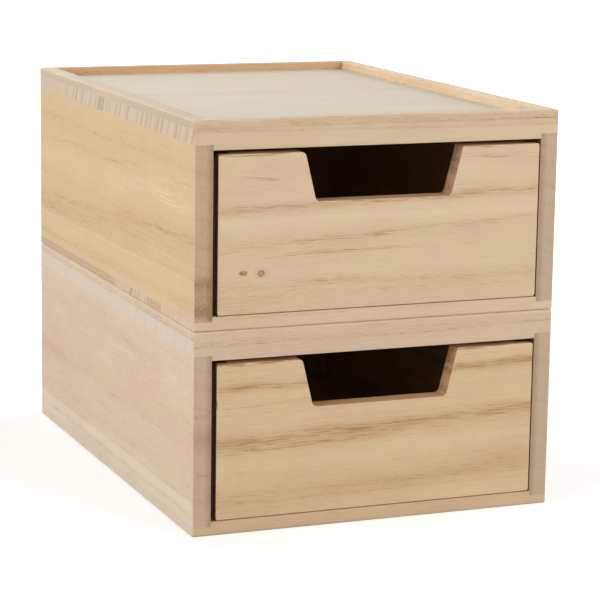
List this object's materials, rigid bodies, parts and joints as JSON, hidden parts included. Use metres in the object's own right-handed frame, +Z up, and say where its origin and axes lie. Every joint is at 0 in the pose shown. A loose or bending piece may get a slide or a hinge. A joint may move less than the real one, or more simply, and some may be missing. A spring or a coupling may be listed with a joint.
{
  "type": "desktop mini drawers",
  "caption": "Stacked wooden desktop drawer units: glued paulownia cases with a tray rim on top, and drawers pulled by a trapezoid finger notch.",
  "frame": {"origin": "middle of the underside of the lower unit", "axes": "+X to the right seen from the front, +Y from the drawer fronts to the back, +Z up"},
  "size_m": [0.18, 0.25, 0.19],
  "materials": {
    "paulownia_board": "sanded, unfinished",
    "thin_plywood": "sanded, unfinished",
    "brad_steel": "bright drawn wire"
  },
  "bodies": {
    "lower_case": {"lower_top_board": "paulownia_board", "lower_bottom_board": "paulownia_board", "lower_left_side": "paulownia_board", "lower_right_side": "paulownia_board", "lower_back_panel": "thin_plywood", "lower_rim_front": "paulownia_board", "lower_rim_right": "paulownia_board", "lower_rim_back": "paulownia_board", "lower_rim_left": "paulownia_board", "lower_case_pins": "brad_steel", "lower_back_pins": "brad_steel"},
    "upper_case": {"upper_top_board": "paulownia_board", "upper_bottom_board": "paulownia_board", "upper_left_side": "paulownia_board", "upper_right_side": "paulownia_board", "upper_back_panel": "thin_plywood", "upper_rim_front": "paulownia_board", "upper_rim_right": "paulownia_board", "upper_rim_back": "paulownia_board", "upper_rim_left": "paulownia_board", "upper_case_pins": "brad_steel", "upper_back_pins": "brad_steel"},
    "lower_drawer": {"lower_drawer_front": "paulownia_board", "lower_drawer_left_side": "paulownia_board", "lower_drawer_right_side": "paulownia_board", "lower_drawer_back": "paulownia_board", "lower_drawer_floor": "thin_plywood", "lower_drawer_pins": "brad_steel"},
    "upper_drawer": {"upper_drawer_front": "paulownia_board", "upper_drawer_left_side": "paulownia_board", "upper_drawer_right_side": "paulownia_board", "upper_drawer_back": "paulownia_board", "upper_drawer_floor": "thin_plywood", "upper_drawer_pins": "brad_steel"}
  },
  "joints": [
    {"name": "lower_drawer_slide", "type": "slide", "parent": "lower_case", "child": "lower_drawer", "axis": [0, -1, 0], "range_m": [0, 0.2]},
    {"name": "upper_drawer_slide", "type": "slide", "parent": "upper_case", "child": "upper_drawer", "axis": [0, -1, 0], "range_m": [0, 0.2]},
    {"name": "upper_unit_lift", "type": "slide", "parent": "lower_case", "child": "upper_case", "axis": [0, 0, 1], "range_m": [0, 0.1]}
  ]
}
